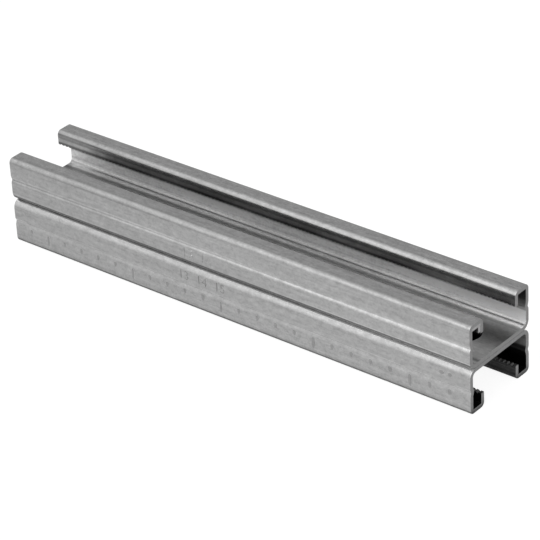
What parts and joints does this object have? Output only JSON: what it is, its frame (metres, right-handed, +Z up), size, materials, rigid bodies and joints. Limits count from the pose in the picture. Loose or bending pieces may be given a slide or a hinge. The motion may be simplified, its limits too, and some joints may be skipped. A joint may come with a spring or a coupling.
{
  "type": "mounting rail",
  "caption": "Short length of back-to-back strut channel in galvanised steel, open above and below, with turned-in lips that have serrated edges.",
  "frame": {"origin": "middle of the rectangle that the rail stands on, at the faces of the lower lips", "axes": "+X along the rail, +Y across it, +Z up out of the upper slot"},
  "size_m": [0.25, 0.0412, 0.042],
  "materials": {
    "galvanised_steel": "hot-dip galvanised sheet, satin, with fine rolling lines"
  },
  "bodies": {
    "root": {"upper_channel": "galvanised_steel", "lower_channel": "galvanised_steel"}
  },
  "joints": []
}
